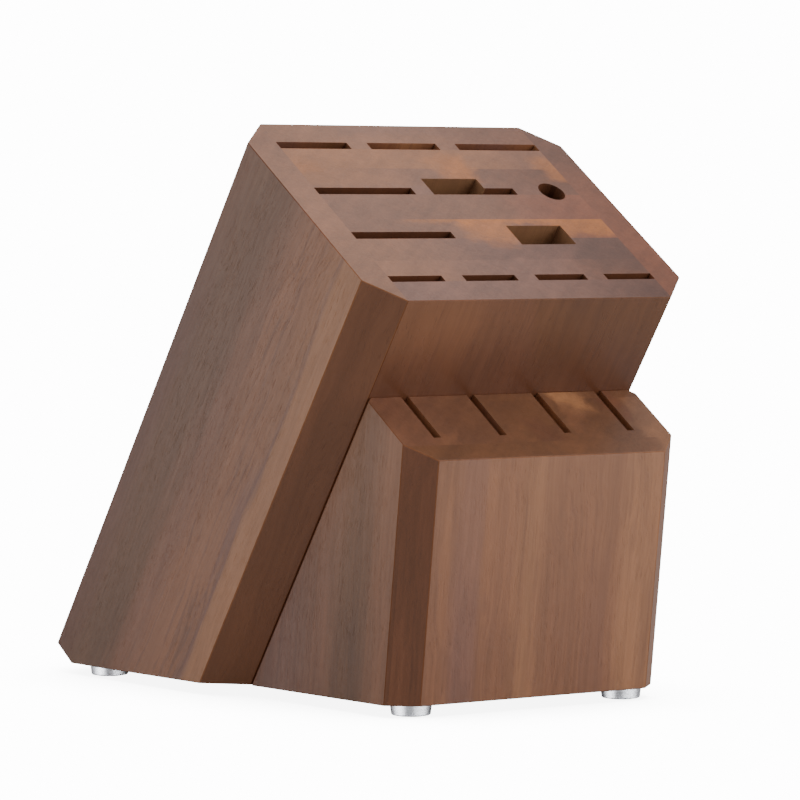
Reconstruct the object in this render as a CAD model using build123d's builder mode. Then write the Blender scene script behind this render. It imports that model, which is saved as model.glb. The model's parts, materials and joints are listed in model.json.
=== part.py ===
from build123d import *
import os
from math import cos, radians, sin, tan

# A leaning knife block with a lower front block for steak knives. The main block is eight milled
# core boards between two cheeks. The front block is a thin panel and four boards, and is glued
# and dowelled to the underside of the lean. Four turned feet are screwed on from below.
# Millimetres, +Z up, -Y is the front. The origin is on the ground, mid-width and mid-length.

# Main block. Its section is square to the lean, and its boards run along the lean.
block_width = 160.0
block_depth = 124.0
lean_angle = 34.6
axis_height = 236.0  # along the lean, from the level of the underside up to the top face
square_end_drop = 23.7  # how far the blank's square end lies below that level
corner_chamfer = 14.0
cheek_thickness = 14.0
arris = 0.3  # every outer edge is eased by this much

# Front block. Its top is parallel to the main top, and its face leans out over its foot.
front_width = 135.0
front_top_height = 189.3  # along the lean, from the level of the underside
front_top_length = 41.5
front_undercut_angle = 7.2
front_chamfer_across = 10.7
front_chamfer_back = 9.7
front_back_clip = 2.5
front_panel_thickness = 8.5
front_board_thickness = 24.0
front_board_count = 4

# Knife slots. Distances are from the main block's back face, and widths are about its middle.
wide_slot = 4.6
narrow_slot = 3.9
steak_slot = 3.6
long_slot_depth = 215.0
middle_slot_depth = 200.0
short_slot_depth = 150.0
shears_slot_depth = 120.0
shears_slit_depth = 150.0
steel_radius = 6.0
steel_depth = 215.0
steel_across = 52.9
steel_from_back = 48.4
steak_slot_depth = 118.0
steak_slot_length = 27.0
steak_slot_pitch = 32.4

# The faces of the core boards, from the back face to the front.
board_faces = [0.0, 18.0, 32.0, 50.7, 68.4, 81.8, 97.0, 111.2, block_depth]
board_names = [
    "core_back_slotted",
    "core_spacer_back",
    "core_second_slotted",
    "core_spacer_middle",
    "core_third_slotted",
    "core_spacer_front",
    "core_fourth_slotted",
    "core_underside",
]

# Each space for a knife or shears: left, right, back, front and depth. The slots are grooves in
# the front faces of the first, third, fifth and seventh boards, and the outermost are open-ended
# grooves that the cheeks close.
first_row = board_faces[1]
second_row = board_faces[3]
third_row = board_faces[5]
fourth_row = board_faces[7]
core_edge = block_width / 2 - cheek_thickness
knife_spaces = [
    (-core_edge, -31.0, first_row - wide_slot, first_row, long_slot_depth),
    (-21.0, 14.0, first_row - wide_slot, first_row, long_slot_depth),
    (24.0, core_edge, first_row - wide_slot, first_row, long_slot_depth),
    (-core_edge, -18.0, second_row - wide_slot, second_row, long_slot_depth),
    (-9.0, 19.2, 39.3, second_row, shears_slot_depth),
    (19.2, 33.8, second_row - wide_slot, second_row, shears_slit_depth),
    (-core_edge, -17.0, third_row - wide_slot, third_row, middle_slot_depth),
    (13.5, 41.4, 73.1, 86.3, shears_slot_depth),
    (-core_edge, -40.0, fourth_row - narrow_slot, fourth_row, short_slot_depth),
    (-29.8, -3.8, fourth_row - narrow_slot, fourth_row, short_slot_depth),
    (6.4, 31.4, fourth_row - narrow_slot, fourth_row, short_slot_depth),
    (41.6, core_edge, fourth_row - narrow_slot, fourth_row, short_slot_depth),
]

# Dowels between the two blocks.
dowel_radius = 4.0
dowel_length = 30.0
dowel_in_main = 10.0
dowel_height = 115.0  # along the lean, from the level of the underside
dowel_spacing = 2 * steak_slot_pitch

# Feet, each with a rubber pad set into it and a countersunk screw.
foot_metal_height = 4.4
pad_proud = 0.4
foot_height = foot_metal_height + pad_proud
foot_top_radius = 8.4
foot_bottom_radius = 7.85
foot_edge = 0.4
recess_radius = 5.5
recess_depth = 1.6
pad_edge = 0.3
screw_radius = 1.75
screw_head_radius = 3.4
screw_in_wood = 14.0
screw_point = 3.0
screw_tip_radius = 0.3
pilot_depth = screw_in_wood + 1.0
drive_width = 0.8
drive_length = 3.6
drive_depth = 1.2
front_foot_spacing = 106.0
rear_foot_spacing = 136.0
front_foot_setback = 11.4
rear_foot_setback = 12.2

# What follows from those.
core_width = 2 * core_edge
half_depth = block_depth / 2
blank_length = axis_height + square_end_drop
lean = Vector(0, -sin(radians(lean_angle)), cos(radians(lean_angle)))
forward = Vector(0, -lean.Z, lean.Y)
front_edge_reach = half_depth + front_top_length
back_extent = half_depth * lean.Z - (square_end_drop - arris) * lean.Y
undercut = radians(front_undercut_angle)
front_extent = front_edge_reach * lean.Z - front_top_height * lean.Y - arris * sin(undercut)
block_centre_y = (front_extent - back_extent) / 2

underside = Plane.XY.offset(foot_height)
block_frame = Plane(origin=(0, block_centre_y, foot_height), x_dir=(1, 0, 0), z_dir=lean)
block_top = block_frame.offset(axis_height)
seam = Plane(origin=block_frame.origin + forward * half_depth, x_dir=(1, 0, 0), z_dir=forward)

front_top = block_frame.offset(front_top_height)
front_top_edge = block_frame.origin + forward * front_edge_reach + lean * front_top_height
front_face_rise = front_top_edge.Z - foot_height
front_bottom_y = front_top_edge.Y + front_face_rise * tan(undercut)
front_face_up = Vector(0, -sin(undercut), cos(undercut))
front_frame = Plane(origin=(0, front_bottom_y, foot_height), x_dir=(1, 0, 0), z_dir=front_face_up)
front_margin = 40.0  # enough blank beyond the front block's sawn ends
front_blank_length = front_face_rise + 2 * front_margin
front_blank_depth = front_panel_thickness + front_board_count * front_board_thickness

heel_edge_y = block_centre_y + square_end_drop / -lean.Y
front_foot_y = front_bottom_y + front_foot_setback
rear_foot_y = heel_edge_y - rear_foot_setback
foot_places = {
    "front_left": (-front_foot_spacing / 2, front_foot_y),
    "front_right": (front_foot_spacing / 2, front_foot_y),
    "rear_left": (-rear_foot_spacing / 2, rear_foot_y),
    "rear_right": (rear_foot_spacing / 2, rear_foot_y),
}

recess_top = pad_proud + recess_depth
head_top = recess_top + screw_head_radius - screw_radius


def upright_at(place):
    """The plane in which a turned piece is drawn: its origin is on the ground, below its centre."""
    return Plane(origin=(*place, 0), x_dir=(1, 0, 0), z_dir=(0, -1, 0))


def make_block_form():
    """The whole main block, sawn off level below and eased all round, before any slot."""
    with BuildPart() as form:
        with BuildSketch(block_frame.offset(-square_end_drop)) as section:
            Rectangle(block_width, block_depth)
            chamfer(section.vertices(), corner_chamfer)
        extrude(amount=blank_length)
        split(bisect_by=underside, keep=Keep.TOP)
        chamfer(form.edges(), arris)
    return form.part


def make_front_form():
    """The whole front block, shaped and eased all round, before any slot."""
    half_front = front_width / 2
    half_face = half_front - front_chamfer_across
    with BuildPart() as form:
        with BuildSketch(front_frame.offset(-front_margin)):
            with BuildLine():
                Polyline(
                    (-half_face, 0),
                    (half_face, 0),
                    (half_front, front_chamfer_back),
                    (half_front, front_blank_depth),
                    (-half_front, front_blank_depth),
                    (-half_front, front_chamfer_back),
                    close=True,
                )
            make_face()
        extrude(amount=front_blank_length)
        split(bisect_by=underside, keep=Keep.TOP)
        split(bisect_by=front_top, keep=Keep.BOTTOM)
        split(bisect_by=seam, keep=Keep.TOP)
        chamfer(form.edges().filter_by(Axis((0, 0, 0), lean)), front_back_clip)
        chamfer(form.edges(), arris)
    return form.part


def make_spaces():
    """Everything that is cut out of the boards, as one part."""
    with BuildPart() as spaces:
        for left, right, back, front, depth in knife_spaces:
            with BuildSketch(block_top):
                with Locations(((left + right) / 2, half_depth - (back + front) / 2)):
                    Rectangle(right - left, front - back)
            extrude(amount=-depth)
        with BuildSketch(block_top):
            with Locations((steel_across, half_depth - steel_from_back)):
                Circle(steel_radius)
        extrude(amount=-steel_depth)
        with BuildSketch(front_top):
            with Locations((0, -half_depth - steak_slot_length / 2)):
                with GridLocations(steak_slot_pitch, 1, 4, 1):
                    Rectangle(steak_slot, steak_slot_length)
        extrude(amount=-steak_slot_depth)
        with BuildSketch(seam.offset(-dowel_in_main)):
            with Locations((0, dowel_height)):
                with GridLocations(dowel_spacing, 1, 2, 1):
                    Circle(dowel_radius)
        extrude(amount=dowel_length)
        with BuildSketch(underside):
            with Locations(*foot_places.values()):
                Circle(screw_radius)
        extrude(amount=pilot_depth)
    return spaces.part


def make_board(label, form, frame, across, span, reach):
    """One board of a glued-up form: what lies across and span in its frame, less the spaces."""
    left, right = across
    near, far = span
    with BuildPart() as board:
        add(form)
        with BuildSketch(frame):
            with Locations(((left + right) / 2, (near + far) / 2)):
                Rectangle(right - left, far - near)
        extrude(amount=reach, mode=Mode.INTERSECT)
        add(spaces, mode=Mode.SUBTRACT)
    board.part.label = label
    return board.part


def make_dowels():
    """The two dowels that locate the front block on the underside of the lean."""
    with BuildPart() as dowels:
        with BuildSketch(seam.offset(-dowel_in_main)):
            with Locations((0, dowel_height)):
                with GridLocations(dowel_spacing, 1, 2, 1):
                    Circle(dowel_radius)
        extrude(amount=dowel_length)
    dowels.part.label = "locating_dowels"
    return dowels.part


def make_foot(label, place):
    """A turned foot: a slightly tapered disc with a pad recess below and a countersunk hole."""
    with BuildPart() as foot:
        with BuildSketch(upright_at(place)):
            with BuildLine():
                Polyline(
                    (recess_radius, pad_proud),
                    (foot_bottom_radius - foot_edge, pad_proud),
                    (foot_bottom_radius, pad_proud + foot_edge),
                    (foot_top_radius, foot_height),
                    (screw_radius, foot_height),
                    (screw_radius, head_top),
                    (screw_head_radius, recess_top),
                    (recess_radius, recess_top),
                    close=True,
                )
            make_face()
        revolve(axis=Axis((*place, 0), (0, 0, 1)))
    foot.part.label = label
    return foot.part


def make_screws():
    """Four countersunk wood screws, head down in the feet, each with a slot for the driver."""
    point_base = foot_height + screw_in_wood - screw_point
    with BuildPart() as screws:
        for place in foot_places.values():
            with BuildSketch(upright_at(place)):
                with BuildLine():
                    Polyline(
                        (0, recess_top),
                        (screw_head_radius, recess_top),
                        (screw_radius, head_top),
                        (screw_radius, point_base),
                        (screw_tip_radius, point_base + screw_point),
                        (0, point_base + screw_point),
                        close=True,
                    )
                make_face()
            revolve(axis=Axis((*place, 0), (0, 0, 1)))
        with BuildSketch(Plane.XY.offset(recess_top)):
            with Locations(*foot_places.values()):
                Rectangle(drive_length, drive_width)
        extrude(amount=drive_depth, mode=Mode.SUBTRACT)
    screws.part.label = "foot_screws"
    return screws.part


def make_pads():
    """Four rubber discs that fill the recesses and stand just proud of the feet."""
    with BuildPart() as pads:
        with BuildSketch(Plane.XY):
            with Locations(*foot_places.values()):
                Circle(recess_radius)
        extrude(amount=recess_top)
        chamfer(pads.edges().group_by(Axis.Z)[0], pad_edge)
    pads.part.label = "foot_pads"
    return pads.part


block_form = make_block_form()
front_form = make_front_form()
spaces = make_spaces()
block_base = block_frame.offset(-square_end_drop)
front_base = front_frame.offset(-front_margin)

cheek_sides = {
    "left_cheek": (-block_width / 2, -core_edge),
    "right_cheek": (core_edge, block_width / 2),
}
pieces = [
    make_board(name, block_form, block_base, sides, (-half_depth, half_depth), blank_length)
    for name, sides in cheek_sides.items()
]
for name, back, front in zip(board_names, board_faces, board_faces[1:]):
    span = (half_depth - front, half_depth - back)
    pieces.append(make_board(name, block_form, block_base, (-core_edge, core_edge), span, blank_length))

front_faces = [0.0]
for index in range(front_board_count + 1):
    front_faces.append(front_panel_thickness + index * front_board_thickness)
front_names = ["front_panel"] + [f"front_body_board_{index + 1}" for index in range(front_board_count)]
front_sides = (-front_width / 2, front_width / 2)
for name, near, far in zip(front_names, front_faces, front_faces[1:]):
    pieces.append(make_board(name, front_form, front_base, front_sides, (near, far), front_blank_length))

pieces.append(make_dowels())
pieces += [make_foot(f"foot_{corner}", place) for corner, place in foot_places.items()]
pieces.append(make_screws())
pieces.append(make_pads())

os.makedirs("parts", exist_ok=True)
for piece in pieces:
    export_step(piece, f"parts/{piece.label}.step")
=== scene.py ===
import json
import math
from typing import NamedTuple

import bpy
from bpy.props import FloatProperty, FloatVectorProperty, PointerProperty
from bpy.types import Operator, Panel, PropertyGroup
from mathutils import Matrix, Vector


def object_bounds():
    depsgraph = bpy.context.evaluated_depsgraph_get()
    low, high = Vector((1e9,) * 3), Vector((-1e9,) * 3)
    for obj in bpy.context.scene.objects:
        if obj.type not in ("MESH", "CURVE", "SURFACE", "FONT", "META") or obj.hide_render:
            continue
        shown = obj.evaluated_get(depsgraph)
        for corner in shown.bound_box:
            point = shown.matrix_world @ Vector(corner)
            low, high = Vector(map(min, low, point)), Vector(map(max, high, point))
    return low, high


bl_info = {
    "name": "Knife Block",
    "version": (1, 0, 0),
    "blender": (4, 5, 0),
    "location": "3D View > Sidebar > Knife Block",
    "description": "Finishes the wood, feet and stage of a leaning knife block",
    "category": "Object",
}

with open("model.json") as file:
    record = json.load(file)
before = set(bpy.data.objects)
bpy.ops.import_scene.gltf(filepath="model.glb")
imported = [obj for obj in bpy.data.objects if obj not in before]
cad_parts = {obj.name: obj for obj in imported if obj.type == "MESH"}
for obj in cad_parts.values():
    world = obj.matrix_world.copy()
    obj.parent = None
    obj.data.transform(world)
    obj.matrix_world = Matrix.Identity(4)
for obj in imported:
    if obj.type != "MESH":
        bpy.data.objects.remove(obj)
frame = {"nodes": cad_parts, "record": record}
CAD_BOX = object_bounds()
MM = 0.001

CHEEKS = ("left_cheek", "right_cheek")
CORE_BOARDS = (
    "core_back_slotted",
    "core_spacer_back",
    "core_second_slotted",
    "core_spacer_middle",
    "core_third_slotted",
    "core_spacer_front",
    "core_fourth_slotted",
    "core_underside",
)
FRONT_BOARDS = (
    "front_panel",
    "front_body_board_1",
    "front_body_board_2",
    "front_body_board_3",
    "front_body_board_4",
)
FEET = ("foot_front_left", "foot_front_right", "foot_rear_left", "foot_rear_right")


# ---------------------------------------------------------------- measures taken from the frame


def mount(name):
    """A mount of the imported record."""
    return next(found for found in frame["record"]["mounts"] if found["name"] == name)


def reach(nodes, direction):
    """The lowest and highest distance of these nodes' corners along a direction."""
    found = [direction.dot(v.co) for name in nodes for v in frame["nodes"][name].data.vertices]
    return min(found), max(found)


class WoodSpace:
    """A glued-up block's own axes: x across, y forward from its back or front face, z along the grain."""

    def __init__(self, nodes, grain, forward, start):
        self.grain = Vector(grain).normalized()
        self.forward = Vector(forward).normalized()
        self.start = start
        self.top = reach(nodes, self.grain)[1]


LEAN = Vector(mount("steel_hole")["axis"])
BLOCK_FORWARD = Vector((0, -LEAN.z, LEAN.y))
BLOCK = WoodSpace(
    CHEEKS + CORE_BOARDS, LEAN, BLOCK_FORWARD, reach(CHEEKS + CORE_BOARDS, BLOCK_FORWARD)[0]
)


def face_up():
    """The direction up the front block's face, from the panel's own largest face."""
    faces = frame["nodes"]["front_panel"].data.polygons
    normal = max((p for p in faces if p.normal.y < -0.9), key=lambda p: p.area).normal
    return Vector((0, normal.z, -normal.y)), normal


FACE_UP, FACE_NORMAL = face_up()
FRONT = WoodSpace(FRONT_BOARDS, FACE_UP, -FACE_NORMAL, -reach(FRONT_BOARDS, FACE_NORMAL)[1])


# ---------------------------------------------------------------- settings


def colour(name, description, default):
    """A colour setting, in linear values."""
    return FloatVectorProperty(
        name=name, description=description, default=default, subtype="COLOR", size=3, min=0, max=1
    )


def length(name, description, default):
    """A length setting, in metres."""
    return FloatProperty(name=name, description=description, default=default, unit="LENGTH")


def power(name, description, default):
    """The setting of a light's power, in watts."""
    return FloatProperty(name=name, description=description, default=default, unit="POWER")


def angle(name, description, degrees):
    """An angle setting, whose default is given in degrees."""
    return FloatProperty(
        name=name, description=description, default=math.radians(degrees), subtype="ANGLE"
    )


class WoodSettings(PropertyGroup):
    """The tones and the figure of the wood."""

    brown: colour("Brown", "The wood's middle tone", (0.200, 0.080, 0.041))
    walnut: colour("Walnut", "The front block's end grain", (0.170, 0.067, 0.028))
    umber: colour("Umber", "The darkest heartwood", (0.140, 0.050, 0.024))
    olive: colour("Olive", "The dull greenish brown of the oldest heartwood", (0.135, 0.055, 0.023))
    tan: colour("Tan", "The lighter bands along the grain", (0.245, 0.098, 0.046))
    sapwood: colour("Sapwood", "The palest strip at a board's edge", (0.325, 0.140, 0.064))
    cream: colour("Cream", "The warm pale end grain", (0.282, 0.106, 0.040))
    mauve: colour("Mauve", "The cool grey-brown bands", (0.195, 0.084, 0.054))
    russet: colour("Russet", "The reddish stretches", (0.195, 0.061, 0.028))
    gold: colour("Gold", "The orange flame on the end grain", (0.395, 0.124, 0.024))
    slate: colour("Slate", "The bluish grey patches on the end grain", (0.109, 0.044, 0.028))
    honey: colour("Honey", "The palest flame on the front block's end grain", (0.440, 0.190, 0.080))
    # Painted shade: the slot walls are the wood itself, made this dark for the shade deep inside the slots.
    shade: colour("Shade", "The sooty walls inside the slots", (0.122, 0.045, 0.021))
    raw: colour("Raw wood", "The unfinished walls inside the pockets", (0.232, 0.115, 0.058))
    bevel_tint: colour("Bevel tint", "What the bevels' colour is multiplied by", (0.64, 0.58, 0.58))
    bevel_depth: FloatVectorProperty(
        name="Bevel depth",
        description="How much of that tint the front block's bevels take, low down and at the top",
        default=(0.55, 1.0),
        size=2,
        min=0,
        max=1,
    )
    line_width: length("Line width", "Width of the fine lines of the grain", 1.3 * MM)
    line_length: length("Line length", "Length of the fine lines of the grain", 42 * MM)
    pore_width: length("Pore width", "Width of the open pores", 0.4 * MM)
    pore_length: length("Pore length", "Length of the open pores", 6 * MM)
    pore_depth: length("Pore depth", "How deep the pores and the grain feel", 0.03 * MM)
    ring_width: length("Ring width", "Spacing of the growth rings on the end grain", 2.6 * MM)
    roughness: FloatProperty(
        name="Roughness",
        description="Roughness of the oiled surface",
        default=0.36,
        min=0,
        max=1,
        subtype="FACTOR",
    )


class FittingSettings(PropertyGroup):
    """The feet, their pads and screws, and the dowels."""

    aluminium: colour("Aluminium", "The turned feet", (0.90, 0.92, 0.98))
    zinc: colour("Zinc", "The plated screws", (0.52, 0.53, 0.55))
    rubber: colour("Rubber", "The pads under the feet", (0.030, 0.030, 0.032))
    beech: colour("Beech", "The raw dowels", (0.52, 0.35, 0.20))
    turning_pitch: length("Turning pitch", "Spacing of the tool marks on the feet", 0.35 * MM)


class StageSettings(PropertyGroup):
    """The floor, the lights and the camera."""

    floor_radius: length("Floor radius", "Radius of the round floor", 6.0)
    floor_tone: colour("Floor", "The floor's colour, as the object reflects it", (0.40, 0.40, 0.40))
    shade_reach: length("Shade reach", "How far the soft shade round the feet reaches", 0.06)
    backdrop_strength: FloatProperty(
        name="Backdrop", description="Brightness of the white floor and backdrop", default=14.0, min=0
    )
    ambient_strength: FloatProperty(
        name="Ambient", description="Brightness of the tent around the object", default=0.46, min=0
    )
    top_power: power("Top light", "Power of the softbox above and behind", 10.0)
    left_power: power("Left light", "Power of the softbox on the left", 4.5)
    front_power: power("Front light", "Power of the softbox in front on the right", 20.0)
    rim_power: power("Rim light", "Power of the softbox behind on the left", 0.95)
    sheen_power: power("Sheen light", "Power of the small softbox over the end faces", 0.20)
    card_power: power("Foot cards", "Power of each card that the feet mirror", 30.0)
    azimuth: angle("Azimuth", "Camera's turn about the object", -35.94)
    elevation: angle("Elevation", "Camera's height above level", 2.45)
    distance: length("Distance", "From the camera to the point that it looks at", 1.822)
    aim: FloatVectorProperty(
        name="Aim",
        description="What the camera looks at, from the middle of the object's box",
        default=(-3.4 * MM, -29.1 * MM, 3.6 * MM),
        subtype="TRANSLATION",
        size=3,
    )
    lens: FloatProperty(
        name="Lens",
        description="Focal length in millimetres",
        default=198.2,
        subtype="DISTANCE_CAMERA",
    )


# ---------------------------------------------------------------- node trees

# The detail and the roughness of two kinds of noise.
FINE = (3.0, 0.6)
SOFT = (3.0, 0.55)


class Graph:
    """Adds nodes to a tree and returns their first output, so that a material reads as sums."""

    def __init__(self, tree):
        self.tree = tree

    def node(self, kind, *values, **settings):
        """A node with these settings, its inputs filled in order with sockets or values."""
        made = self.tree.nodes.new(kind)
        for name, value in settings.items():
            setattr(made, name, value)
        for socket, value in zip([s for s in made.inputs if s.enabled], values):
            self.put(socket, value)
        return made

    def put(self, socket, value):
        """Links a socket to another, or sets its own value."""
        if value is None:
            return
        if isinstance(value, bpy.types.NodeSocket):
            self.tree.links.new(value, socket)
        else:
            socket.default_value = value

    def sum(self, operation, *values):
        """One scalar operation."""
        return self.node("ShaderNodeMath", *values, operation=operation).outputs[0]

    def along(self, vector, direction):
        """How far a vector reaches along a fixed direction."""
        found = self.node("ShaderNodeVectorMath", vector, tuple(direction), operation="DOT_PRODUCT")
        return found.outputs["Value"]

    def stretched(self, vector, scale, shift=(0, 0, 0)):
        """A vector scaled and shifted on each axis."""
        made = self.node("ShaderNodeMapping", vector, vector_type="POINT")
        made.inputs["Scale"].default_value = scale
        made.inputs["Location"].default_value = shift
        return made.outputs[0]

    def noise(self, vector, detail=2.0, roughness=0.5):
        """Smooth noise from about 0.25 to 0.75, one cell to each unit of the vector."""
        made = self.node("ShaderNodeTexNoise", vector, noise_dimensions="3D")
        made.inputs["Scale"].default_value = 1.0
        made.inputs["Detail"].default_value = detail
        made.inputs["Roughness"].default_value = roughness
        return made.outputs[0]

    def step(self, value, start, end, low=0.0, high=1.0):
        """A smooth step: low before start, high after end."""
        ends = (start, end, low, high)
        return self.node("ShaderNodeMapRange", value, *ends, interpolation_type="SMOOTHSTEP").outputs[0]

    def swing(self, noise, low, high, spread=0.2):
        """Noise turned into a swing from low to high, which it makes within this spread of 0.5."""
        return self.step(noise, 0.5 - spread, 0.5 + spread, low, high)

    def blend(self, factor, first, second, mode="MIX"):
        """Two colours mixed by a factor."""
        made = self.tree.nodes.new("ShaderNodeMix")
        made.data_type = "RGBA"
        made.blend_type = mode
        for name, value in (("Factor_Float", factor), ("A_Color", first), ("B_Color", second)):
            socket = next(s for s in made.inputs if s.identifier == name)
            self.put(socket, value if isinstance(value, (bpy.types.NodeSocket, float)) else (*value, 1))
        return next(s for s in made.outputs if s.identifier == "Result_Color")

    def shaded(self, made, factor):
        """A colour made darker, or lighter by a factor over 1."""
        grey = self.node("ShaderNodeCombineXYZ", factor, factor, factor).outputs[0]
        return self.blend(1.0, made, grey, "MULTIPLY")

    def bands(self, value, stops):
        """A colour for each stretch of a length: stops are (millimetres, colour)."""
        first, last = stops[0][0], stops[-1][0]
        share = self.node("ShaderNodeMapRange", value, float(first), float(last)).outputs[0]
        made = self.node("ShaderNodeValToRGB", share)
        points = made.color_ramp.elements
        while len(points) < len(stops):
            points.new(0.5)
        for point, (place, tone) in zip(points, stops):
            point.position = (place - first) / (last - first)
            point.color = (*tone, 1)
        made.color_ramp.interpolation = "EASE"
        return made.outputs[0]

    def bump(self, shader, height, distance, strength=1.0):
        """Relief for a shader: a height from 0 to 1, and how deep that is."""
        made = self.node("ShaderNodeBump")
        made.inputs["Strength"].default_value = strength
        made.inputs["Distance"].default_value = distance
        self.put(made.inputs["Height"], height)
        self.put(shader.inputs["Normal"], made.outputs[0])


def new_material(name):
    """An empty material with its Principled shader joined to the output."""
    material = bpy.data.materials.new(name)
    material.use_nodes = True
    tree = material.node_tree
    tree.nodes.clear()
    shader = tree.nodes.new("ShaderNodeBsdfPrincipled")
    output = tree.nodes.new("ShaderNodeOutputMaterial")
    tree.links.new(shader.outputs[0], output.inputs["Surface"])
    return material, Graph(tree), shader


def dress(nodes, material):
    """Gives these CAD nodes one material."""
    for name in nodes:
        piece = frame["nodes"][name]
        for slot in piece.material_slots:
            slot.material = material


# ---------------------------------------------------------------- the wood

# The end grain, board by board: its tone at the left, in the middle and at the right. The paler left and
# darker right are partly the wood's own colour and partly painted light, for a sheen that is stronger on
# the left.
END_TONES = {
    "left_cheek": ("tan", "tan", "tan"),
    "core_back_slotted": ("tan", "tan", "brown"),
    "core_spacer_back": ("cream", "cream", "brown"),
    "core_second_slotted": ("cream", "brown", "umber"),
    "core_spacer_middle": ("brown", "brown", "russet"),
    "core_third_slotted": ("brown", "brown", "russet"),
    "core_spacer_front": ("tan", "mauve", "slate"),
    "core_fourth_slotted": ("tan", "mauve", "umber"),
    "core_underside": ("mauve", "mauve", "slate"),
    "right_cheek": ("umber", "umber", "umber"),
    "front_panel": ("walnut", "walnut", "walnut"),
    "front_body_board_1": ("brown", "walnut", "walnut"),
    "front_body_board_2": ("brown", "walnut", "walnut"),
    "front_body_board_3": ("walnut", "walnut", "walnut"),
    "front_body_board_4": ("walnut", "walnut", "walnut"),
}
END_TONE_PLACES = (-66, 8, 60)  # where those three lie, in millimetres from the middle


class Patch(NamedTuple):
    """A stretch of another tone on the end grain, in millimetres across and from the back."""

    boards: str
    tone: str
    across: tuple
    forward: tuple
    soft: tuple  # how gradually it fades at its left, right, back and front
    strength: float


# A span that runs past a board's own face ends crisply at the glue line there.
PATCHES = (
    # round the first two rows: golden spots on the pale wood, with dull and dark wood about them
    Patch("core_second_slotted", "mauve", (-90, 90), (45, 70), (1, 1, 3, 1), 0.7),
    Patch("core_spacer_back core_second_slotted", "gold", (3, 23), (23, 41), (7, 4, 5, 3), 0.85),
    Patch("core_spacer_back core_second_slotted", "gold", (-70, -54), (27, 35), (1, 5, 4, 3), 0.45),
    Patch("core_spacer_back core_second_slotted", "gold", (57, 90), (24, 40), (4, 1, 5, 3), 0.65),
    Patch("core_back_slotted", "mauve", (-30, 30), (-9, 7), (9, 9, 1, 3), 0.5),
    Patch("core_back_slotted", "umber", (16, 90), (-9, 20), (26, 1, 1, 1), 0.6),
    Patch("core_second_slotted", "umber", (20, 90), (44, 70), (20, 1, 3, 1), 0.7),
    # the salmon tint behind the wide pocket
    Patch("core_spacer_middle", "russet", (30, 90), (55, 72), (12, 1, 5, 1), 0.8),
    # the flame: a thin tip on the left, a ragged tongue by the wide pocket, then on to the right cheek
    Patch("core_third_slotted", "gold", (-30, 90), (60, 71), (14, 1, 1, 1.5), 0.75),
    Patch("core_third_slotted core_spacer_front", "gold", (-7, 17), (60, 83), (6, 5, 1, 4), 0.7),
    Patch("core_spacer_front", "gold", (0, 12), (80, 89), (3, 3, 1, 2), 0.5),
    Patch("core_third_slotted", "gold", (36, 90), (60, 80), (4, 1, 1, 3), 0.85),
    # slate patches at the right, below the flame, and the ends of the cheeks
    Patch("core_spacer_front core_fourth_slotted", "slate", (40, 90), (84, 106), (12, 1, 4, 5), 0.85),
    Patch("right_cheek", "slate", (60, 90), (-9, 40), (1, 1, 1, 30), 0.3),
    Patch("right_cheek", "russet", (60, 90), (40, 130), (1, 1, 30, 1), 0.8),
    Patch("core_spacer_front", "slate", (-14, 60), (84, 97), (16, 1, 3, 1), 0.45),
    Patch("left_cheek", "brown", (-90, -60), (-10, 30), (1, 1, 1, 20), 0.4),
    # the front block: a pale corner by the first slot, flames on both sides of the last, dark ends
    Patch("front_body_board_1", "tan", (-50, -37.6), (147.5, 160), (3, 0.4, 1.5, 1), 0.75),
    Patch("front_body_board_1 front_body_board_2", "honey", (22, 37), (110, 136), (3, 4, 1, 5), 0.9),
    Patch("front_body_board_1", "tan", (22, 30), (133, 152), (3, 5, 1, 4), 0.55),
    Patch("front_body_board_1 front_panel", "sapwood", (55, 90), (130, 175), (4, 1, 7, 1), 0.65),
    Patch("front_body_board_1", "umber", (-2, 12), (141, 160), (4, 5, 3, 1), 0.6),
    Patch("front_body_board_2 front_body_board_1", "umber", (-90, -55), (100, 140), (1, 4, 1, 6), 0.5),
    Patch("front_body_board_2 front_body_board_1", "russet", (47, 53), (100, 150), (2, 2, 1, 5), 0.5),
)

# Tones along the grain, by the millimetre: from the back face on a cheek, and from the middle on
# the core. The front block's run from the middle of its face, less the distance behind the face,
# so they go on round its left corner.
LEFT_CHEEK_BANDS = (
    (0, "brown"), (16, "umber"), (32, "olive"), (44, "olive"), (58, "brown"), (72, "tan"), (91, "tan"),
    (95, "mauve"), (99, "sapwood"),
)
RIGHT_CHEEK_BANDS = (
    (0, "tan"), (14, "sapwood"), (20, "tan"), (36, "russet"), (58, "brown"), (74, "mauve"), (92, "brown"),
    (108, "russet"), (124, "brown"),
)
BACK_BANDS = (
    (-66, "mauve"), (-52, "brown"), (-38, "olive"), (-20, "brown"), (-6, "tan"), (2, "sapwood"), (8, "tan"),
    (26, "brown"), (44, "mauve"), (66, "tan"),
)
UNDERSIDE_BANDS = ((-46, "tan"), (-16, "brown"), (-6, "brown"), (2, "walnut"))
FRONT_BANDS = (
    (-178, "brown"), (-150, "mauve"), (-124, "brown"), (-108, "olive"), (-98, "olive"), (-84, "tan"),
    (-48, "tan"), (-42, "mauve"), (-36, "mauve"), (-31, "tan"), (-18, "tan"), (-8, "sapwood"), (4, "tan"),
    (34, "tan"), (41, "sapwood"),
)

# How closely a face's normal has to follow a direction, as cosines: where a mask begins to count
# the face in, and where it counts it in fully. The eased edges are what FACING_FLAT leaves out.
FACING = (0.85, 0.95)
FACING_CHAMFER = (0.975, 0.99)
FACING_FLAT = (0.930, 0.955)

# The streaks askew on the end grain.
STREAK_WIDTH = 5
STREAK_LENGTH = 34
STREAK_TURN = math.radians(40)

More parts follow.
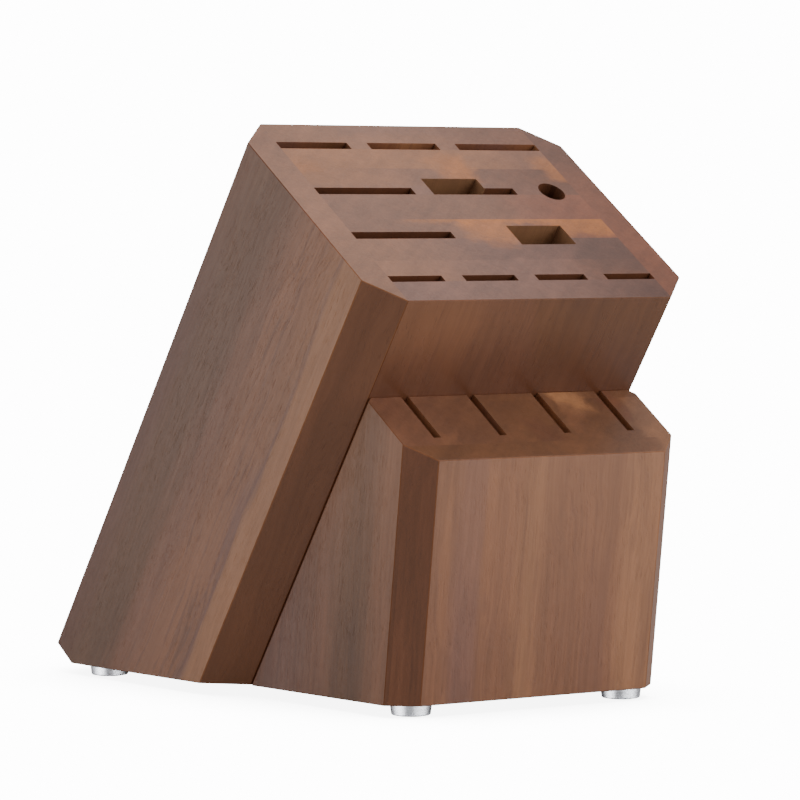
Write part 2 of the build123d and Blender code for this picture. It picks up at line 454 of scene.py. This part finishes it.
# The finish.
BEVEL_SPAN = (-160, -10)  # where the front block's bevels change their depth of tint, from its top
ARRIS_TINT = 0.5  # how much of the bevels' tint the eased edges take
ARRIS_POLISH = 0.06  # how much smoother the eased edges are
PORE_SHADE = 0.13  # how much darker the open pores are
PORE_ROUGHNESS = 0.15  # how much rougher the open pores are
OILED_SHINE = 0.5  # specular level of the flat faces
DULL_SHINE = 0.10  # specular level of the eased edges and of one bevel
LINE_RELIEF = 0.5  # how much of the pores' depth the fine lines have

# How far the raw walls of the pockets reach across and from back to front, in millimetres.
POCKETS = {"shears_pocket": (29.6, 13.0), "wide_pocket": (29.7, 15.0)}

# How light each of the front block's boards is beside the others.
FRONT_LIGHTNESS = (1.0, 0.95, 1.0, 0.96, 1.02)


def tone_of(settings, name):
    """A tone by its name, as three numbers."""
    return tuple(getattr(settings, name))


class WoodPlaces:
    """Where the point being shaded lies on a block, in millimetres.

    The shift says which part of the log a board is cut from, so that no two boards match.
    """

    def __init__(self, graph, space, shift):
        self.graph = graph
        self.shift = shift
        point = graph.node("ShaderNodeTexCoord").outputs["Object"]
        forward = graph.sum("SUBTRACT", graph.along(point, space.forward), space.start)
        along = graph.sum("SUBTRACT", graph.along(point, space.grain), space.top)
        self.across = graph.sum("DIVIDE", graph.along(point, (1, 0, 0)), MM)
        self.forward = graph.sum("DIVIDE", forward, MM)
        self.along = graph.sum("DIVIDE", along, MM)
        straight = graph.node("ShaderNodeCombineXYZ", self.across, self.forward, self.along)
        self.straight = straight.outputs[0]
        sway = self.wander(45, 140, 5)
        offset = graph.node("ShaderNodeCombineXYZ", sway, sway, 0.0).outputs[0]
        swaying = graph.node("ShaderNodeVectorMath", self.straight, offset, operation="ADD")
        self.swaying = swaying.outputs[0]

    def grown(self, width, length, detail=2.0, roughness=0.5):
        """Noise in cells this wide and this long, in millimetres, along the swaying grain."""
        cells = self.graph.stretched(self.swaying, (1 / width, 1 / width, 1 / length), self.shift)
        return self.graph.noise(cells, detail, roughness)

    def wander(self, width, length, reach, turn=0):
        """An offset of up to this reach, which changes over cells this wide and this long."""
        shift = tuple(part + turn for part in self.shift)
        cells = self.graph.stretched(self.straight, (1 / width, 1 / width, 1 / length), shift)
        return self.graph.swing(self.graph.noise(cells, *SOFT), -reach, reach, spread=0.3)


def faces_towards(graph, direction):
    """1 on faces that look this way, 0 on the others."""
    normal = graph.node("ShaderNodeTexCoord").outputs["Normal"]
    return graph.step(graph.along(normal, direction), *FACING)


def product(graph, *values):
    """Several values multiplied together."""
    total = values[0]
    for value in values[1:]:
        total = graph.sum("MULTIPLY", total, value)
    return total


def window(graph, value, span, soft_low, soft_high):
    """1 inside a span, falling softly to 0 outside it."""
    low, high = span
    rise = graph.step(value, low - soft_low, low + soft_low)
    fall = graph.step(value, high - soft_high, high + soft_high, 1.0, 0.0)
    return product(graph, rise, fall)


def wash(graph, settings, made, tone, *masks):
    """Another tone laid over a colour, as strongly as the masks multiplied together say."""
    return graph.blend(product(graph, *masks), made, tone_of(settings, tone))


def end_streaks(graph, places):
    """Soft streaks that run askew over the end grain, as a factor."""
    turned = graph.node("ShaderNodeVectorRotate", places.straight, rotation_type="Z_AXIS")
    turned.inputs["Angle"].default_value = STREAK_TURN
    cells = (1 / STREAK_LENGTH, 1 / STREAK_WIDTH, 1 / STREAK_LENGTH)
    return graph.swing(graph.noise(graph.stretched(turned.outputs[0], cells), *SOFT), 0.91, 1.08)


def growth_rings(graph, settings, places):
    """Faint growth rings about a heart that lies outside the board, as a factor."""
    heart = Vector((12 * places.shift[0] - 150, -8 * places.shift[1] - 60, 0))
    from_heart = graph.stretched(places.straight, (1, 1, 0), tuple(-heart))
    radius = graph.node("ShaderNodeVectorMath", from_heart, operation="LENGTH").outputs["Value"]
    radius = graph.sum("ADD", radius, places.wander(20, 20, 4, turn=5))
    ring = graph.sum("DIVIDE", radius, settings.ring_width / MM)
    cells = graph.node("ShaderNodeCombineXYZ", ring, 0.0, places.shift[2]).outputs[0]
    return graph.swing(graph.noise(cells, *FINE), 0.95, 1.04, spread=0.25)


def end_grain(graph, settings, places, board):
    """The board's end: its ground, its patches, soft streaks and faint growth rings."""
    tones = [tone_of(settings, name) for name in END_TONES[board]]
    x = graph.sum("ADD", places.across, places.wander(15, 15, 5, turn=3))
    y = graph.sum("ADD", places.forward, places.wander(9, 9, 2.5, turn=8))
    made = graph.bands(x, list(zip(END_TONE_PLACES, tones)))
    for patch in PATCHES:
        if board in patch.boards.split():
            left, right, back, front = patch.soft
            in_x = window(graph, x, patch.across, left, right)
            in_y = window(graph, y, patch.forward, back, front)
            made = wash(graph, settings, made, patch.tone, in_x, in_y, patch.strength)
    figure = product(graph, end_streaks(graph, places), growth_rings(graph, settings, places))
    return graph.shaded(made, figure)


def side_grain(graph, settings, places, value, bands, reach=4):
    """Bands along the grain, whose edges wander."""
    place = graph.sum("ADD", value, places.wander(9, 95, reach, turn=1))
    return graph.bands(place, [(mm, tone_of(settings, name)) for mm, name in bands])


def streaked(graph, settings, places, made, where, strength):
    """Thin cool streaks, a hand long, laid over the side grain where the mask says."""
    streaks = graph.step(places.grown(2.6, 75, *FINE), 0.52, 0.66)
    return wash(graph, settings, made, "slate", streaks, where, strength)


def nearest(graph, directions):
    """How closely a face's normal follows the nearest of these directions or their opposites."""
    normal = graph.node("ShaderNodeTexCoord").outputs["Normal"]
    found = 0.0
    for direction in directions:
        found = graph.sum("MAXIMUM", found, graph.sum("ABSOLUTE", graph.along(normal, direction)))
    return found


def chamfer_directions(space):
    """The two ways across a block's upright corners."""
    side = Vector((1, 0, 0))
    return (side + space.forward).normalized(), (side - space.forward).normalized()


def arris(graph, space):
    """1 on the small eased edges, whose normals lie between those of the large faces."""
    flat = ((0, 0, 1), (1, 0, 0), space.forward, space.grain, BLOCK.grain)
    return graph.step(nearest(graph, (*flat, *chamfer_directions(space))), *FACING_FLAT, 1.0, 0.0)


def on_chamfer(graph, space):
    """1 on the long bevels that cut off a block's upright corners."""
    return graph.step(nearest(graph, chamfer_directions(space)), *FACING_CHAMFER)


def on_end(graph):
    """1 on the sawn ends: the tops, the square end and the level underside."""
    up = faces_towards(graph, BLOCK.grain)
    down = graph.sum("MAXIMUM", faces_towards(graph, (0, 0, -1)), faces_towards(graph, -BLOCK.grain))
    return graph.sum("MAXIMUM", up, down)


def bevelled(graph, settings, space, places, wear, made):
    """The side grain with darker bevels, and eased edges that take some of that tint."""
    bevel = on_chamfer(graph, space)
    if space is FRONT:
        bevel = product(graph, bevel, graph.step(places.along, *BEVEL_SPAN, *settings.bevel_depth))
    bevel = graph.sum("MAXIMUM", bevel, graph.sum("MULTIPLY", wear, ARRIS_TINT))
    return graph.blend(bevel, made, tuple(settings.bevel_tint), "MULTIPLY")


def open_pores(graph, settings, places):
    """1 in the open pores, which come in crowds."""
    found = places.grown(settings.pore_width / MM, settings.pore_length / MM, 1.0)
    crowds = graph.step(places.grown(12, 60), 0.35, 0.6, 0.3, 1.0)
    return product(graph, graph.step(found, 0.60, 0.70), crowds)


def make_wood(settings, board, space, shift, paint, worn=True, lightness=1.0):
    """A board's material: paint gives its side grain, and its ends come from the tables above."""
    material, graph, shader = new_material(f"{board} wood")
    places = WoodPlaces(graph, space, shift)
    over_all = places if space is BLOCK else WoodPlaces(graph, BLOCK, shift)
    wear = arris(graph, space) if worn else 0.0
    side = bevelled(graph, settings, space, places, wear, paint(graph, settings, places))
    made = graph.blend(on_end(graph), side, end_grain(graph, settings, over_all, board))

    clouds = graph.swing(places.grown(28, 120), 0.91, 1.09)
    bands = graph.swing(places.grown(5, 130, *FINE), 0.93, 1.06)
    lines = places.grown(settings.line_width / MM, settings.line_length / MM, *FINE)
    pores = open_pores(graph, settings, places)
    tone = product(graph, clouds, bands, graph.swing(lines, 0.95, 1.05, spread=0.25), lightness)
    tone = graph.sum("SUBTRACT", tone, graph.sum("MULTIPLY", pores, PORE_SHADE))
    graph.put(shader.inputs["Base Color"], graph.shaded(made, tone))

    rough = graph.swing(lines, settings.roughness + 0.05, settings.roughness - 0.04, spread=0.3)
    rough = graph.sum("ADD", rough, graph.sum("MULTIPLY", pores, PORE_ROUGHNESS))
    rough = graph.sum("SUBTRACT", rough, graph.sum("MULTIPLY", wear, ARRIS_POLISH))
    graph.put(shader.inputs["Roughness"], rough)
    dull = graph.sum("MAXIMUM", wear, faces_towards(graph, chamfer_directions(space)[0]))
    shine = graph.step(dull, 0.0, 1.0, OILED_SHINE, DULL_SHINE)
    graph.put(shader.inputs["Specular IOR Level"], shine)
    relief = graph.sum("SUBTRACT", graph.sum("MULTIPLY", lines, LINE_RELIEF), pores)
    graph.bump(shader, relief, settings.pore_depth)
    dress([board], material)


def paint_left_cheek(graph, settings, places):
    """Dark heartwood at the back, cool streaks, then a pale strip before the corner."""
    made = side_grain(graph, settings, places, places.forward, LEFT_CHEEK_BANDS)
    heartwood = window(graph, places.forward, (14, 58), 14, 14)
    upper_part = window(graph, places.along, (-62, 9), 38, 1)
    made = wash(graph, settings, made, "olive", heartwood, upper_part, 0.6)
    made = wash(graph, settings, made, "sapwood", graph.step(places.along, -150, -5, 0.0, 0.16))
    by_corner = window(graph, places.forward, (86, 140), 8, 1)
    rising = graph.step(places.along, -130, -5, 0.0, 0.3)
    made = wash(graph, settings, made, "honey", by_corner, rising)
    before_corner = window(graph, places.forward, (62, 98), 14, 2)
    return streaked(graph, settings, places, made, before_corner, 0.38)


def paint_right_cheek(graph, settings, places):
    """Reddish heartwood with a pale strip near the back."""
    made = side_grain(graph, settings, places, places.forward, RIGHT_CHEEK_BANDS)
    middle = window(graph, places.forward, (30, 100), 12, 12)
    return streaked(graph, settings, places, made, middle, 0.3)


def paint_back(graph, settings, places):
    """The back board's broad face."""
    made = side_grain(graph, settings, places, places.across, BACK_BANDS)
    middle = window(graph, places.across, (-60, 60), 9, 9)
    return streaked(graph, settings, places, made, middle, 0.25)


def paint_underside(graph, settings, places):
    """The underside board: tan on the left, dark on the right, with painted shade towards the front block
    and painted light near its top edge.
    """
    slanted = graph.sum("ADD", places.across, graph.sum("MULTIPLY", places.along, 0.35))
    made = side_grain(graph, settings, places, slanted, UNDERSIDE_BANDS)
    # Painted shade: the underside darkens to umber towards the front block, which shades it there.
    made = wash(graph, settings, made, "umber", graph.step(places.along, -46, -8, 0.75, 0.0))
    # Painted light: paler near the open top edge, most on the left, where more light reaches the underside.
    rising = graph.step(places.along, -34, -2, 0.0, 0.32)
    on_left = graph.step(slanted, -10, 30, 1.0, 0.25)
    made = wash(graph, settings, made, "sapwood", rising, on_left)
    middle = window(graph, places.across, (-50, 60), 9, 9)
    return streaked(graph, settings, places, made, middle, 0.2)


def paint_inside(graph, settings, places):
    """The boards that only show inside the slots, painted dark for the shade in there, with raw wood in the
    two pockets.
    """
    # Painted shade: the slot walls take the dark shade tone.
    made = tone_of(settings, "shade")
    soft = 0.1
    for name, (width, depth) in POCKETS.items():
        middle = Vector(mount(name)["pos_m"])
        x = middle.x / MM
        y = (middle.dot(BLOCK.forward) - BLOCK.start) / MM
        in_x = window(graph, places.across, (x - width / 2, x + width / 2), soft, soft)
        in_y = window(graph, places.forward, (y - depth / 2, y + depth / 2), soft, soft)
        made = wash(graph, settings, made, "raw", in_x, in_y)
    return made


def paint_front_block(graph, settings, places):
    """Bands that run up the face and round its left corner, a darker patch, and a top painted paler for the
    light from above.
    """
    round_corner = graph.sum("SUBTRACT", places.across, places.forward)
    made = side_grain(graph, settings, places, round_corner, FRONT_BANDS, reach=2.5)
    made = graph.shaded(made, graph.swing(places.grown(2.3, 95, *FINE), 0.88, 1.09))
    x = graph.sum("ADD", places.across, places.wander(9, 60, 2.5, turn=6))
    z = graph.sum("ADD", places.along, places.wander(6, 40, 9, turn=2))
    in_x = window(graph, x, (21, 33), 2, 1.5)
    in_z = window(graph, z, (-150, -58), 9, 12)
    made = wash(graph, settings, made, "brown", in_x, in_z, 0.65)
    # Painted light: the face is washed paler towards its top, for the light that falls from above.
    made = wash(graph, settings, made, "sapwood", graph.step(places.along, -120, -8, 0.0, 0.42))
    face = window(graph, places.across, (-64, 60), 6, 6)
    return streaked(graph, settings, places, made, face, 0.16)


# ---------------------------------------------------------------- the fittings


def speckle(graph, cells, detail=2.0, roughness=0.5):
    """Noise fixed to a piece, with this many cells to the metre each way."""
    point = graph.node("ShaderNodeTexCoord").outputs["Object"]
    return graph.noise(graph.stretched(point, cells), detail, roughness)


def dimmed(tone, factor):
    """A tone made darker, or lighter by a factor over 1."""
    return tuple(factor * channel for channel in tone)


def make_beech(settings):
    """The raw dowels."""
    material, graph, shader = new_material("dowel beech")
    flecks = speckle(graph, (900, 150, 220), *FINE)
    tones = dimmed(settings.beech, 0.7), tuple(settings.beech)
    graph.put(shader.inputs["Base Color"], graph.blend(flecks, *tones))
    shader.inputs["Roughness"].default_value = 0.65
    return material


def make_aluminium(settings):
    """The turned feet: faint rings from the tool, and smears round the edge."""
    material, graph, shader = new_material("turned aluminium")
    point = graph.node("ShaderNodeTexCoord").outputs["Object"]
    turns = graph.sum("MULTIPLY", graph.along(point, (0, 0, 1)), math.tau / settings.turning_pitch)
    smears = speckle(graph, (120, 120, 2500), *FINE)
    tones = dimmed(settings.aluminium, 0.93), tuple(settings.aluminium)
    graph.put(shader.inputs["Base Color"], graph.blend(graph.swing(smears, 0.0, 1.0), *tones))
    graph.put(shader.inputs["Roughness"], graph.swing(smears, 0.30, 0.24))
    graph.bump(shader, graph.sum("ADD", graph.sum("SINE", turns), smears), 0.01 * MM, strength=0.2)
    shader.inputs["Metallic"].default_value = 1.0
    return material


def make_zinc(settings):
    """The plated screws."""
    material, graph, shader = new_material("zinc plate")
    spangle = speckle(graph, (1400, 1400, 1400))
    tones = dimmed(settings.zinc, 0.8), tuple(settings.zinc)
    graph.put(shader.inputs["Base Color"], graph.blend(spangle, *tones))
    graph.put(shader.inputs["Roughness"], graph.swing(spangle, 0.30, 0.42))
    shader.inputs["Metallic"].default_value = 1.0
    return material


def make_rubber(settings):
    """The matt pads, with a fine moulded grain."""
    material, graph, shader = new_material("pad rubber")
    grain = speckle(graph, (3500, 3500, 3500), 3.0, 0.7)
    tones = tuple(settings.rubber), dimmed(settings.rubber, 1.8)
    graph.put(shader.inputs["Base Color"], graph.blend(grain, *tones))
    graph.put(shader.inputs["Roughness"], graph.swing(grain, 0.75, 0.92))
    graph.bump(shader, grain, 0.03 * MM)
    return material


# ---------------------------------------------------------------- the stage


def make_floor(settings):
    """A wide round floor, plain and pale, whose glow for the camera carries a painted shadow round the
    object.
    """
    bpy.ops.mesh.primitive_circle_add(vertices=128, radius=settings.floor_radius, fill_type="NGON")
    floor = bpy.context.object
    floor.name = "floor"
    material, graph, shader = new_material("pale floor")
    graph.put(shader.inputs["Base Color"], (*settings.floor_tone, 1))
    shader.inputs["Roughness"].default_value = 0.25
    # Painted shadow: ambient occlusion dims the floor's glow for the camera to half near the feet and under
    # the block.
    shade = graph.node("ShaderNodeAmbientOcclusion", samples=8)
    shade.inputs["Distance"].default_value = settings.shade_reach
    full = settings.backdrop_strength
    strength = graph.step(shade.outputs["AO"], 0.2, 1.0, full / 2, full)
    glow = graph.node("ShaderNodeEmission", (1, 1, 1, 1), strength)
    seen = graph.node("ShaderNodeLightPath").outputs["Is Camera Ray"]
    mixed = graph.node("ShaderNodeMixShader", seen, shader.outputs[0], glow.outputs[0])
    output = next(n for n in graph.tree.nodes if n.type == "OUTPUT_MATERIAL")
    graph.tree.links.new(mixed.outputs[0], output.inputs["Surface"])
    floor.data.materials.append(material)


class Lamp(NamedTuple):
    """A square area light: its place and size in metres, and the setting that holds its power."""

    name: str
    place: tuple
    size: float
    power: str


SOFTBOXES = (
    Lamp("top softbox", (-0.13, 0.45, 1.33), 0.9, "top_power"),
    Lamp("left softbox", (-1.35, -0.15, 0.72), 0.9, "left_power"),
    Lamp("front softbox", (0.85, -1.1, 0.42), 1.4, "front_power"),
    Lamp("rim softbox", (-0.67, 0.84, 0.17), 0.5, "rim_power"),
    Lamp("sheen softbox", (0.218, 0.052, 0.585), 0.25, "sheen_power"),
)
FOOT_CARDS = (
    Lamp("left foot card", (-0.98, 0.18, -0.22), 0.6, "card_power"),
    Lamp("right foot card", (0.24, -0.97, -0.22), 0.6, "card_power"),
)


def make_lamp(lamp, power):
    """A light that faces the object's middle and that no camera sees."""
    light = bpy.data.lights.new(lamp.name, "AREA")
    light.shape = "SQUARE"
    light.size = lamp.size
    light.energy = power
    made = bpy.data.objects.new(lamp.name, light)
    bpy.context.scene.collection.objects.link(made)
    made.location = lamp.place
    low, high = CAD_BOX
    towards = (low + high) / 2 - Vector(lamp.place)
    made.rotation_euler = towards.to_track_quat("-Z", "Y").to_euler()
    made.visible_camera = False
    return made


def gather_feet():
    """A collection of the feet alone, for the lights that only they mirror."""
    feet = bpy.data.collections.new("feet")
    for foot in FEET:
        feet.objects.link(frame["nodes"][foot])
    return feet


def make_foot_card(card, power, feet):
    """A low card that only the feet mirror, for the shine of a white tabletop under the light."""
    made = make_lamp(card, power)
    made.light_linking.receiver_collection = feet
    made.light_linking.blocker_collection = feet


def make_world(settings):
    """A bright backdrop for the eye, and a dimmer room for the light."""
    world = bpy.data.worlds.new("studio")
    bpy.context.scene.world = world
    world.use_nodes = True
    tree = world.node_tree
    tree.nodes.clear()
    graph = Graph(tree)
    room = graph.node("ShaderNodeBackground", (1, 1, 1, 1), settings.ambient_strength)
    backdrop = graph.node("ShaderNodeBackground", (1, 1, 1, 1), settings.backdrop_strength)
    seen = graph.node("ShaderNodeLightPath").outputs["Is Camera Ray"]
    mixed = graph.node("ShaderNodeMixShader", seen, room.outputs[0], backdrop.outputs[0])
    output = graph.node("ShaderNodeOutputWorld")
    tree.links.new(mixed.outputs[0], output.inputs["Surface"])


def make_camera(settings):
    """The camera, placed about the middle of the CAD model's box."""
    low, high = CAD_BOX
    aim = (low + high) / 2 + Vector(settings.aim)
    turn, rise = settings.azimuth, settings.elevation
    away = Vector((math.sin(turn) * math.cos(rise), -math.cos(turn) * math.cos(rise), math.sin(rise)))
    data = bpy.data.cameras.new("camera")
    data.lens = settings.lens
    camera = bpy.data.objects.new("camera", data)
    bpy.context.scene.collection.objects.link(camera)
    camera.location = aim + away * settings.distance
    camera.rotation_euler = (-away).to_track_quat("-Z", "Y").to_euler()
    bpy.context.scene.camera = camera


# ---------------------------------------------------------------- operators


class KNIFEBLOCK_OT_cheeks(Operator):
    """Finish the two cheeks"""

    bl_idname = "knifeblock.cheeks"
    bl_label = "Cheeks"

    def execute(self, context):
        settings = context.scene.knifeblock_wood
        make_wood(settings, "left_cheek", BLOCK, (11, 5, 3), paint_left_cheek)
        make_wood(settings, "right_cheek", BLOCK, (18, 9, 7), paint_right_cheek)
        return {"FINISHED"}


class KNIFEBLOCK_OT_core(Operator):
    """Finish the boards of the core"""

    bl_idname = "knifeblock.core"
    bl_label = "Core boards"

    def execute(self, context):
        settings = context.scene.knifeblock_wood
        broad_faces = {"core_back_slotted": paint_back, "core_underside": paint_underside}
        for index, board in enumerate(CORE_BOARDS):
            shift = (5 + 4 * index, 17 - 2 * index, 9 + 3 * index)
            paint = broad_faces.get(board, paint_inside)
            make_wood(settings, board, BLOCK, shift, paint, worn=board in broad_faces)
        return {"FINISHED"}


class KNIFEBLOCK_OT_front_block(Operator):
    """Finish the panel and the boards of the front block"""

    bl_idname = "knifeblock.front_block"
    bl_label = "Front block"

    def execute(self, context):
        settings = context.scene.knifeblock_wood
        for index, (board, lightness) in enumerate(zip(FRONT_BOARDS, FRONT_LIGHTNESS)):
            shift = (2 + 3 * index, 23, 6)
            make_wood(settings, board, FRONT, shift, paint_front_block, lightness=lightness)
        return {"FINISHED"}


class KNIFEBLOCK_OT_dowels(Operator):
    """Finish the dowels between the blocks"""

    bl_idname = "knifeblock.dowels"
    bl_label = "Dowels"

    def execute(self, context):
        dress(["locating_dowels"], make_beech(context.scene.knifeblock_fittings))
        return {"FINISHED"}


class KNIFEBLOCK_OT_feet(Operator):
    """Finish the turned feet"""

    bl_idname = "knifeblock.feet"
    bl_label = "Feet"

    def execute(self, context):
        dress(FEET, make_aluminium(context.scene.knifeblock_fittings))
        return {"FINISHED"}


class KNIFEBLOCK_OT_screws_and_pads(Operator):
    """Finish the screws and the rubber pads"""

    bl_idname = "knifeblock.screws_and_pads"
    bl_label = "Screws and pads"

    def execute(self, context):
        settings = context.scene.knifeblock_fittings
        dress(["foot_screws"], make_zinc(settings))
        dress(["foot_pads"], make_rubber(settings))
        return {"FINISHED"}


class KNIFEBLOCK_OT_stage(Operator):
    """Add the floor, the lights and the camera"""

    bl_idname = "knifeblock.stage"
    bl_label = "Stage"

    def execute(self, context):
        settings = context.scene.knifeblock_stage
        make_floor(settings)
        make_world(settings)
        for softbox in SOFTBOXES:
            make_lamp(softbox, getattr(settings, softbox.power))
        feet = gather_feet()
        for card in FOOT_CARDS:
            make_foot_card(card, getattr(settings, card.power), feet)
        make_camera(settings)
        return {"FINISHED"}


OPERATORS = (
    KNIFEBLOCK_OT_cheeks,
    KNIFEBLOCK_OT_core,
    KNIFEBLOCK_OT_front_block,
    KNIFEBLOCK_OT_dowels,
    KNIFEBLOCK_OT_feet,
    KNIFEBLOCK_OT_screws_and_pads,
    KNIFEBLOCK_OT_stage,
)


class KNIFEBLOCK_PT_maker(Panel):
    """Lists the steps of the knife block"""

    bl_idname = "KNIFEBLOCK_PT_maker"
    bl_label = "Knife Block"
    bl_space_type = "VIEW_3D"
    bl_region_type = "UI"
    bl_category = "Knife Block"

    def draw(self, context):
        for operator in OPERATORS:
            self.layout.operator(operator.bl_idname)
        for name in SETTINGS:
            box = self.layout.box()
            group = getattr(context.scene, name)
            for key in group.bl_rna.properties.keys():
                if key not in ("rna_type", "name"):
                    box.prop(group, key)


SETTINGS = {
    "knifeblock_wood": WoodSettings,
    "knifeblock_fittings": FittingSettings,
    "knifeblock_stage": StageSettings,
}
CLASSES = (*SETTINGS.values(), *OPERATORS, KNIFEBLOCK_PT_maker)


def register():
    """Registers the classes and hangs the settings on the scene."""
    for made in CLASSES:
        bpy.utils.register_class(made)
    for name, group in SETTINGS.items():
        setattr(bpy.types.Scene, name, PointerProperty(type=group))


def unregister():
    """Takes them away again."""
    for name in SETTINGS:
        delattr(bpy.types.Scene, name)
    for made in reversed(CLASSES):
        bpy.utils.unregister_class(made)


def main():
    """Builds everything in order."""
    register()
    bpy.ops.knifeblock.cheeks()
    bpy.ops.knifeblock.core()
    bpy.ops.knifeblock.front_block()
    bpy.ops.knifeblock.dowels()
    bpy.ops.knifeblock.feet()
    bpy.ops.knifeblock.screws_and_pads()
    bpy.ops.knifeblock.stage()


if __name__ == "__main__":
    main()
